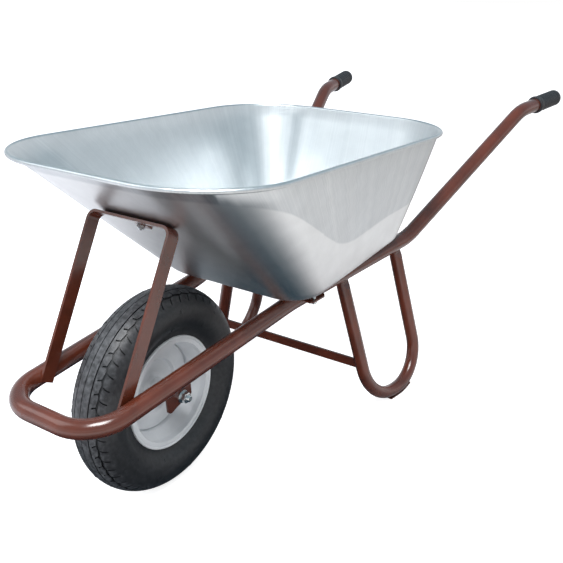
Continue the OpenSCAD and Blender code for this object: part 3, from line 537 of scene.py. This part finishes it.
def sweep(s):
    """How far round the wheel a cross groove has run by the place s, as a share of the pitch."""
    if s < ditch_in:
        return inner_sweep * min(1.0, (ditch_in - s) / (ditch_in - thin_out))
    k = min(1.0, (s - ditch_in) / sweep_run)
    return outer_sweep * (1 - (1 - k) ** sweep_curve)


def step_aside(share):
    """The long groove runs straight along each block, then steps back between two blocks."""
    return share / inner_share if share <= inner_share else (1 - share) / (1 - inner_share)


# %% The torus, put on the rows and columns
bead_h, toe_half, well_h = 0.017, 0.0236, 0.004
bead = [(seat_r + bead_h, flange_in), (seat_r, flange_in), (seat_r, toe_half), (seat_r + well_h, 0.0)]
whole = [(s, None, 1) for s in half_rows] + [(None, p, 1) for p in bead]
whole += [(None, p, -1) for p in bead[-2::-1]] + [(s, None, -1) for s in half_rows[:0:-1]]
start()
bpy.ops.mesh.primitive_torus_add(major_segments=pitches * len(columns), minor_segments=len(whole),
                                 major_radius=middle_r, minor_radius=section_h)
tyre = bpy.context.object
tyre.name = "tyre_tread"
for v in tyre.data.vertices:
    i, j = divmod(v.index, len(whole))
    s, point, side = whole[j]
    turn, column = divmod(i, len(columns))
    share, edge = columns[column]
    if point:
        (r, x), along = point, (turn + share) * pitch
    else:
        beside = max(0.0, 1 - abs(s - ditch_in) / jog_reach)
        r, x = section_point(s - jog * step_aside(share) * beside)
        narrow = 1 if s < cross_end else rib_share
        along = (turn + share + sweep(s)) * pitch + edge * narrow * cut_w / 2
    a = along / tyre_r
    v.co = (side * x, axle.y + r * math.cos(a), axle.z + r * math.sin(a))


# %% Press the grooves in and raise the fine ribs of the shoulder
rows = {s: j for j, s in enumerate(half_rows)}
torus_size = pitches * len(columns) * len(whole)


def span(face):
    """The columns and the rows that a face of the torus lies between."""
    ids = [v.index for v in face.verts]
    if max(ids) >= torus_size:
        return set(), set()
    return ({i // len(whole) % len(columns) for i in ids},
            {min(i % len(whole), len(whole) - i % len(whole)) for i in ids})


def between(js, a, b):
    return bool(js) and rows[a] <= min(js) and max(js) <= rows[b]


def deep(face, middle):
    cols, js = span(face)
    return (between(js, ditch_in, ditch_out)
            or (cols == {0, 1} and between(js, ditch_out, cross_end))
            or (cols == {3, 4} and between(js, blind, ditch_in)))


def shallow(face, middle):
    cols, js = span(face)
    return between(js, thin_in, thin_out) or between(js, 0.0, middle_w)


def fine_rib(face, middle):
    cols, js = span(face)
    return cols == {0, 1} and between(js, rib_start, rib_end)


tyre.data.attributes.new("cut", "FLOAT", "POINT")
select_only(tyre)
bpy.ops.object.mode_set(mode="EDIT")
bpy.ops.mesh.select_all(action="SELECT")
bpy.ops.mesh.normals_make_consistent(inside=False)
for test, height in ((deep, deep_cut), (shallow, shallow_cut), (fine_rib, rib_height)):
    count = pick(tyre, "faces", test)
    bpy.ops.mesh.extrude_region_shrink_fatten(TRANSFORM_OT_shrink_fatten={"value": height})
    print("moved", count, "faces of the tread by", height)
    bpy.ops.object.mode_set(mode="OBJECT")
    # The pressed-in faces are marked, so that the rubber's finish can paint shade into the grooves.
    for v in tyre.data.vertices:
        if v.select and height < 0:
            tyre.data.attributes["cut"].data[v.index].value = 1.0
    bpy.ops.object.mode_set(mode="EDIT")
bpy.ops.object.mode_set(mode="OBJECT")
smooth(tyre, 38)
dress(tyre, rubber)
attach(tyre, "wheel")
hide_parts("tyre")
print("the tread has", len(tyre.data.polygons), "faces in all")

# %% [markdown]
# ## Grips, fasteners and welds
# Small turned parts share one way of making: a circle is extruded row by row, and each row gets
# its radius and height. A hexagon is the same circle with its radius stretched to six flats, and
# the chamfer that a nut has is then the row where the cone meets those flats.

# %% A circle extruded row by row
turned_sides, row_step = 48, 0.01
chamfer = math.radians(30)


def frame_at(place, way, beside=(1, 0, 0)):
    """A matrix that puts +Z along the way and +X as near beside as it can."""
    z = Vector(way).normalized()
    y = z.cross(Vector(beside)).normalized()
    return Matrix.Translation(Vector(place)) @ Matrix((y.cross(z), y, z)).transposed().to_4x4()


def hexagon(r, a):
    """The distance from the middle to the flats of a hexagon that is 2 r across them."""
    return r / math.cos(a % (math.pi / 3) - math.pi / 6)


def turned(rows, matrix, half_flats=None):
    """Rows of (radius, height), from a circle. Rows marked low or high follow a hexagon."""
    start()
    bpy.ops.mesh.primitive_circle_add(vertices=turned_sides, radius=1)
    obj = bpy.context.object
    bpy.ops.object.mode_set(mode="EDIT")
    bpy.ops.mesh.select_mode(type="EDGE")
    bpy.ops.mesh.select_all(action="SELECT")
    for _ in rows[1:]:
        bpy.ops.mesh.extrude_region_move(TRANSFORM_OT_translate={"value": (0, 0, row_step)})
    bpy.ops.object.mode_set(mode="OBJECT")
    for v in obj.data.vertices:
        r, h, *mark = rows[round(v.co.z / row_step)]
        a = math.atan2(v.co.y, v.co.x)
        if mark:
            drop = (hexagon(half_flats, a) - r) * math.tan(chamfer)
            r, h = hexagon(half_flats, a), h + (drop if mark[0] == "low" else -drop)
        v.co = (r * math.cos(a), r * math.sin(a), h)
    obj.matrix_world = matrix
    settle(obj)
    outwards(obj)
    return obj


def hex_rows(half_flats, low, high, hole):
    """A hexagon with both its faces chamfered, from the edge of one hole to that of the other."""
    circle = 0.99 * half_flats
    return [(hole, low), (circle, low), (circle, low, "low"),
            (circle, high, "high"), (circle, high), (hole, high)]


def threaded(r, low, high, pitch):
    """The rows of a rod from low to high with rings for a thread, and a chamfered end."""
    tip, root = 0.001, r - 0.55 * pitch
    count = round((high - low - tip) / pitch * 2)
    rings = [(r if i % 2 else root, low + i * pitch / 2) for i in range(count + 1)]
    return rings + [(r - 1.2 * tip, high), (0.0, high)]


def gather(name, pieces, body, node, material, degrees=32):
    """Join the pieces to one, and hand it over in place of its node, if it has one."""
    select_only(*pieces)
    if len(pieces) > 1:
        bpy.ops.object.join()
    obj = bpy.context.object
    obj.name = name
    dress(obj, material)
    smooth(obj, degrees)
    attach(obj, body)
    if node:
        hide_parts(node)
    print(name, "is made of", len(pieces), "pieces and has", len(obj.data.polygons), "faces")
    return obj


# %% [markdown]
# The rail and the handle are one bent tube. Its middle line is known by four points on the left,
# measured from the axle, which is the joint's place in the frame. The grips, the bolts' sides, the
# welds and the wrinkles of the bends all lie along that line.

# %% The middle line of the tube on the left
rail_r = 0.01725
rail_front = axle + Vector((0.122, 0.269, 0.111))
rail_rear = axle + Vector((0.193, 0.659, 0.156))
handle = axle + Vector((0.294, 1.079, 0.400))
grip_tip = axle + Vector((0.326, 1.262, 0.413))


def on_rail(behind):
    """The rail's middle at a distance behind the axle."""
    y = axle.y + behind
    return rail_front.lerp(rail_rear, (y - rail_front.y) / (rail_rear.y - rail_front.y))


print("the rail climbs", round(rail_rear.z - rail_front.z, 4), "over its straight")

# %% [markdown]
# A grip is a rubber sleeve with a collar, fine rings for the hand and a closed, rounded end. It is
# turned as one profile that starts at the collar and comes back along the inside of the cap.

# %% Grips
grip_way = (grip_tip - handle).normalized()
grip_l, grip_cap = 0.112, 0.0048
bore_r, body_r, lip_r, dome_r = 0.01735, 0.0207, 0.0224, 0.010
ring_count, ring_pitch, ring_start, ring_cut = 26, 0.0028, 0.016, 0.00035
grip_rows = [(bore_r, 0.0), (lip_r - 0.0012, 0.0), (lip_r - 0.0003, 0.0005), (lip_r, 0.0015),
             (lip_r, 0.0055), (lip_r - 0.0005, 0.0068), (body_r + 0.0004, 0.0085), (body_r, 0.011)]
for i in range(ring_count):
    at = ring_start + ring_pitch * i
    grip_rows += [(body_r, at), (body_r - ring_cut, at + 0.0004),
                  (body_r - ring_cut, at + 0.0008), (body_r, at + 0.0012)]
for a in (0, 12, 24, 36, 48, 60, 72, 84, 90):
    grip_rows.append((body_r - dome_r + dome_r * math.cos(math.radians(a)),
                      grip_l - dome_r + dome_r * math.sin(math.radians(a))))
grip_rows += [(0.0, grip_l), (0.0, grip_l - grip_cap), (bore_r, grip_l - grip_cap)]
for side, hand in ((1, "left"), (-1, "right")):
    flip = Vector((side, 1, 1))
    grip = turned(grip_rows, frame_at((grip_tip - grip_l * grip_way) * flip, grip_way * flip))
    gather(hand + "_grip_ribbed", [grip], "frame", hand + "_grip", soft_rubber, 50)

# %% [markdown]
# Five bolts hold the tray, each with a washer under its head. Where they stand is read from the
# frame: each packed washer and nut is a solid of its own, so a merged copy of the node falls apart
# into them. The line from a washer's middle to that of the nearest nut is then the bolt's line.

# %% Find the middle of each solid in a node
def middles(name):
    """The middles of a node's solids, from a merged copy that is deleted again."""
    select_only(nodes[name])
    bpy.ops.object.duplicate()
    bpy.ops.object.mode_set(mode="EDIT")
    bpy.ops.mesh.select_all(action="SELECT")
    bpy.ops.mesh.remove_doubles(threshold=1e-6)
    bpy.ops.mesh.separate(type="LOOSE")
    bpy.ops.object.mode_set(mode="OBJECT")
    found = []
    for obj in bpy.context.selected_objects:
        corners = [obj.matrix_world @ Vector(c) for c in obj.bound_box]
        found.append((corners[0] + corners[6]) / 2)
    bpy.ops.object.delete()
    return sorted(found, key=lambda c: (round(c.y, 3), -c.x))


# %% Bolts, washers and nuts of the tray
bolt_r, bolt_pitch, bolt_tail = 0.004, 0.00125, 0.003
head_r, head_h = 0.0075, 0.004
washer_hole_r, washer_r, washer_t, washer_edge = 0.0045, 0.008, 0.0015, 0.0003
nut_half, nut_h = 0.0065, 0.0065
washer_middles, nut_middles = middles("tray_washers"), middles("tray_nuts")
bolts, washers, nuts = [], [], []
for washer in washer_middles:
    nut = min(nut_middles, key=lambda c: (c - washer).length)
    at = frame_at(washer, nut - washer)
    low, high = -washer_t / 2, washer_t / 2
    seat = (nut - washer).length - nut_h / 2
    dome = [(head_r * math.sin(math.radians(a)), low - head_h * math.cos(math.radians(a)))
            for a in range(0, 91, 15)]
    shank = threaded(bolt_r, low + 0.001, seat + nut_h + bolt_tail, bolt_pitch)
    bolts.append(turned(dome + [(bolt_r, low)] + shank, at))
    washers.append(turned(
        [(washer_hole_r, low), (washer_r - washer_edge, low), (washer_r, low + washer_edge),
         (washer_r, high), (washer_hole_r, high), (washer_hole_r, low)], at))
    rows = hex_rows(nut_half, seat, seat + nut_h, bolt_r)
    nuts.append(turned(rows + [rows[0]], at, nut_half))
gather("tray_bolts_domed", bolts, "frame", "tray_bolts", zinc)
gather("tray_washers_turned", washers, "frame", "tray_washers", zinc)
gather("tray_nuts_chamfered", nuts, "frame", "tray_nuts", zinc)

# %% [markdown]
# The axle is one long bolt. Its head and its nut clamp the two brackets, with a plain washer under
# each. It is turned along the axle, with its head on the right, and the nut's place is read from the
# frame.

# %% The axle's bolt, washers and nut
axle_r, axle_half, axle_pitch = 0.006, 0.0095, 0.00175
axle_head_h, axle_nut_h, axle_stub = 0.0075, 0.010, 0.007
disc_t, disc_hole_r, disc_r, disc_edge = 0.0025, 0.0062, 0.013, 0.0004
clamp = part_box("axle_nut")[0][0]  # from the wheel's middle to the nut, and to the head
along_axle = frame_at(axle, (1, 0, 0), (0, 1, 0))
head = hex_rows(axle_half, -clamp - axle_head_h, -clamp, axle_r)
head[0] = (0.0, -clamp - axle_head_h)
shank = threaded(axle_r, clamp - 0.004, clamp + axle_nut_h + axle_stub, axle_pitch)
bolt = turned(head[:-1] + [(axle_r, -clamp)] + shank, along_axle, axle_half)
gather("axle_bolt_threaded", [bolt], "frame", "axle_bolt", zinc)
rows = hex_rows(axle_half, clamp, clamp + axle_nut_h, axle_r)
nut = turned(rows + [rows[0]], along_axle, axle_half)
gather("axle_nut_chamfered", [nut], "frame", "axle_nut", zinc)
discs = []
for side in (1, -1):
    inner, outer = side * (clamp - disc_t), side * clamp
    discs.append(turned(
        [(disc_hole_r, inner), (disc_r, inner), (disc_r, outer - side * disc_edge),
         (disc_r - disc_edge, outer), (disc_hole_r, outer), (disc_hole_r, inner)], along_axle))
gather("axle_washers_turned", discs, "frame", "axle_washers", zinc)

# %% [markdown]
# A weld follows the line where one tube meets another. That line is found here by walking round
# the end of the leg, which is pressed flat, and going up from each point until it meets the rail.
# A torus gets its rows on the line, and the puddles of the weld swell and shrink along it.

# %% Where the legs meet the rails
leg_r, pressed_half = 0.0145, 0.0085
rail_way = (rail_rear - rail_front).normalized()
foot_z = 0.0181
bead_r, puddles, swell, bead_rows, bead_round = 0.0019, 13, 0.16, 96, 8


def leg_end(top_behind, foot_half, foot_behind):
    """The top and the foot of one side of a leg's loop, at distances behind the axle."""
    top = on_rail(top_behind) - Vector((rail_r / 4, 0, 0))
    return top, Vector((foot_half, axle.y + foot_behind, foot_z))


leg_ends = [leg_end(0.429, 0.225, 0.455), leg_end(0.614, 0.252, 0.655)]


def clear_of_rail(vector):
    """The part of a vector that points straight away from the rail's line."""
    return vector - vector.dot(rail_way) * rail_way


def bead_place(top, up, across, beside, a):
    """Where the weld runs, on the outside of the leg at the angle a."""
    x = max(-pressed_half, min(pressed_half, leg_r * math.cos(a)))
    on_leg = top + x * across + leg_r * math.sin(a) * beside
    q, u = clear_of_rail(on_leg - rail_front), clear_of_rail(-up)
    half = q.dot(u) / u.dot(u)
    down = -half + math.sqrt(max(0.0, half * half - (q.dot(q) - rail_r**2) / u.dot(u)))
    return on_leg - up * down


def weld(top, foot, side):
    """One bead round the end of a leg."""
    up = (top - foot).normalized()
    beside = up.cross(Vector((1, 0, 0))).normalized()
    across = beside.cross(up)
    angles = [2 * math.pi * i / bead_rows for i in range(bead_rows)]
    line = [bead_place(top, up, across, beside, a) for a in angles]
    start()
    bpy.ops.mesh.primitive_torus_add(major_segments=bead_rows, minor_segments=bead_round,
                                     major_radius=leg_r, minor_radius=bead_r)
    bead = bpy.context.object
    for v in bead.data.vertices:
        i, j = divmod(v.index, bead_round)
        run = (line[(i + 1) % bead_rows] - line[i - 1]).normalized()
        outside = (line[i] - top + up * (line[i] - top).dot(-up)).normalized()
        normal = run.cross(outside).normalized()
        r = bead_r * (1 + swell * math.sin(puddles * angles[i]))
        a = 2 * math.pi * j / bead_round
        place = line[i] + r * (math.cos(a) * outside + math.sin(a) * normal)
        v.co = place * Vector((side, 1, 1))
    settle(bead)
    outwards(bead)
    return bead


# %% [markdown]
# A bender presses the inside of a tube's bend together, and low ridges stay there. Each one is a
# thin torus round the tube, set in until only its side towards the bend's middle shows.

# %% Wrinkles in the upward bends, and the pieces of each side together
bend_r = 0.115
ridge_r, ridge_in = 0.0008, 0.0006
ridge_turns = (-0.17, -0.1, -0.03, 0.04, 0.11)  # radians from the middle of the bend
onward = (handle - rail_rear).normalized()
towards, forward = (onward - rail_way).normalized(), (onward + rail_way).normalized()
bend_middle = rail_rear + towards * bend_r / math.cos(rail_way.angle(onward) / 2)


def wrinkle(turn, side):
    """A low ridge that the bender pressed up on the inside of the rail's bend."""
    start()
    bpy.ops.mesh.primitive_torus_add(major_segments=64, minor_segments=8,
                                     major_radius=rail_r - ridge_in, minor_radius=ridge_r)
    ridge = bpy.context.object
    place = bend_middle + bend_r * (math.sin(turn) * forward - math.cos(turn) * towards)
    place += ridge_in * towards
    ridge.matrix_world = frame_at(place, math.sin(turn) * towards + math.cos(turn) * forward)
    settle(ridge)
    for v in ridge.data.vertices:
        v.co = v.co * Vector((side, 1, 1))
    outwards(ridge)
    return ridge


for side, hand in ((1, "left"), (-1, "right")):
    beads = [wrinkle(turn, side) for turn in ridge_turns]
    beads += [weld(top, foot, side) for top, foot in leg_ends]
    gather(hand + "_welds_and_wrinkles", beads, "frame", None, enamel, 60)

# %% [markdown]
# ## Camera and light
# The barrow is seen from its front left, from a little above the handles, with a moderate lens.

# %% Camera
eye = Vector((0.9516, -1.4734, 0.9834))
pan, tilt, roll = math.radians(34.147), math.radians(-22.473), math.radians(0.21)
lens_data = bpy.data.cameras.new("camera")
lens_data.sensor_width = 36
lens_data.lens = 51.2
camera = bpy.data.objects.new("camera", lens_data)
bpy.context.scene.collection.objects.link(camera)
turns = (Matrix.Rotation(pan, 4, "Z") @ Matrix.Rotation(math.pi / 2 + tilt, 4, "X")
         @ Matrix.Rotation(roll, 4, "Z"))
camera.matrix_world = Matrix.Translation(eye) @ turns
bpy.context.scene.camera = camera
print("the camera is", round((eye - axle).length, 3), "m from the axle")

# %% [markdown]
# The floor is white board. It glows for the camera only, so that it stays white all the way back,
# and the light that it sends up to the barrow is what a matt board would send.

# %% Floor
floor_size, floor_shine, tint_half = 30, 0.8, 1.2
start()
bpy.ops.mesh.primitive_plane_add(size=floor_size)
floor = bpy.context.object
floor.name = "floor"
material, tree, surface, place = finish("white_floor", Roughness=0.9)
across = put(tree, "MapRange", {"Value": put(tree, "SeparateXYZ", {"Vector": place}).outputs["X"],
                                "From Min": -tint_half, "From Max": tint_half})
tint = put(tree, "ValToRGB", {"Fac": across.outputs["Result"]},
           stops=((0.0, "#EDEFF7"), (1.0, "#D0CECB")))
tree.links.new(tint.outputs["Color"], surface.inputs["Base Color"])
path = put(tree, "LightPath")
tree.links.new(path.outputs["Is Camera Ray"], surface.inputs["Emission Strength"])
surface.inputs["Emission Color"].default_value = (floor_shine, floor_shine, floor_shine, 1)
dress(floor, material)
print("the floor is", floor_size, "m wide")

# %% [markdown]
# Metal shows what stands round it, so the sky matters more than the lamps here. Mirrors see a cool,
# dimmer sky with a bright band at the horizon, matt surfaces get an even grey light, and the camera
# sees white.

# %% World
colour_a, colour_b, colour_out = 6, 7, 2  # the sockets of a Mix node that hold colours
world = bpy.data.worlds.new("studio")
world.use_nodes = True
bpy.context.scene.world = world
tree = world.node_tree
path = put(tree, "LightPath")
away = put(tree, "SeparateXYZ", {"Vector": put(tree, "TexCoord").outputs["Generated"]})
sky = put(tree, "ValToRGB", {"Fac": away.outputs["Z"]}, stops=((0.04, "#F2F5F8"), (0.46, "#9CB2BD")))
sky.color_ramp.interpolation = "EASE"
shown = sky.outputs["Color"]
for kind, grey in (("Is Diffuse Ray", 0.58), ("Is Camera Ray", 1.0)):
    mix = put(tree, "Mix", {"Factor": path.outputs[kind], colour_a: shown,
                            colour_b: (grey, grey, grey, 1)}, data_type="RGBA")
    shown = mix.outputs[colour_out]
tree.links.new(shown, tree.nodes["Background"].inputs["Color"])
print("the sky has", len(tree.nodes), "nodes")

# %% [markdown]
# The wheel and the frame stand close under the tray and keep the light away from the floor there.
# The tray's front wall leans over that place and mirrors it. That shade is painted in: a dark,
# soft-edged patch that glows for mirrors only is a painted reflection of shade. It gives the wall
# its deep tone and leaves the floor white.

# %% Painted shade under the tray, seen only by mirrors
patch_size, patch_place = 2.0, (0.0, -0.46, 0.002)
start()
bpy.ops.mesh.primitive_plane_add(size=patch_size, location=patch_place)
patch = bpy.context.object
patch.name = "painted_shade_patch"
patch.visible_camera = patch.visible_diffuse = patch.visible_shadow = False
material, tree, surface, place = finish("painted_shade_patch")
shape = put(tree, "Mapping", {"Vector": place, "Scale": (1.5, 1.05, 1.0)})
ball = put(tree, "TexGradient", {"Vector": shape.outputs["Vector"]}, gradient_type="SPHERICAL")
fade = put(tree, "MapRange", {"Value": ball.outputs["Fac"], "From Max": 0.6, "To Max": 1.0},
           interpolation_type="SMOOTHSTEP")
# The patch glows a dark blue-grey: painted shade, which only reflections show.
shade_glow = put(tree, "Emission", {"Color": colour("#15303D")})
clear = put(tree, "BsdfTransparent")
both = put(tree, "MixShader", {0: fade.outputs["Result"], 1: clear.outputs[0], 2: shade_glow.outputs[0]})
tree.links.new(both.outputs[0], tree.nodes["Material Output"].inputs["Surface"])
dress(patch, material)
print("the dark patch is", patch_size, "m wide")

# %% [markdown]
# Three area lamps finish the light: a large one high on the camera's side, a weak fill from the
# far side, and a low one in front that matt surfaces see and mirrors don't.

# %% Lamps
def lamp(name, place, target, size, power):
    data = bpy.data.lights.new(name, "AREA")
    data.size = size
    data.energy = power
    light = bpy.data.objects.new(name, data)
    bpy.context.scene.collection.objects.link(light)
    light.location = place
    light.rotation_euler = (Vector(target) - Vector(place)).to_track_quat("-Z", "Y").to_euler()
    return light


lamp("key", (0.85, -1.35, 2.8), (-0.1, 0.1, 0.4), 1.2, 90)
lamp("upper left", (-1.9, -2.0, 2.6), (0, 0, 0.4), 2.0, 22)
lamp("front", (-1.4, -3.0, 1.2), (0, -0.2, 0.3), 1.0, 16).visible_glossy = False
bpy.context.scene.view_settings.view_transform = "Standard"
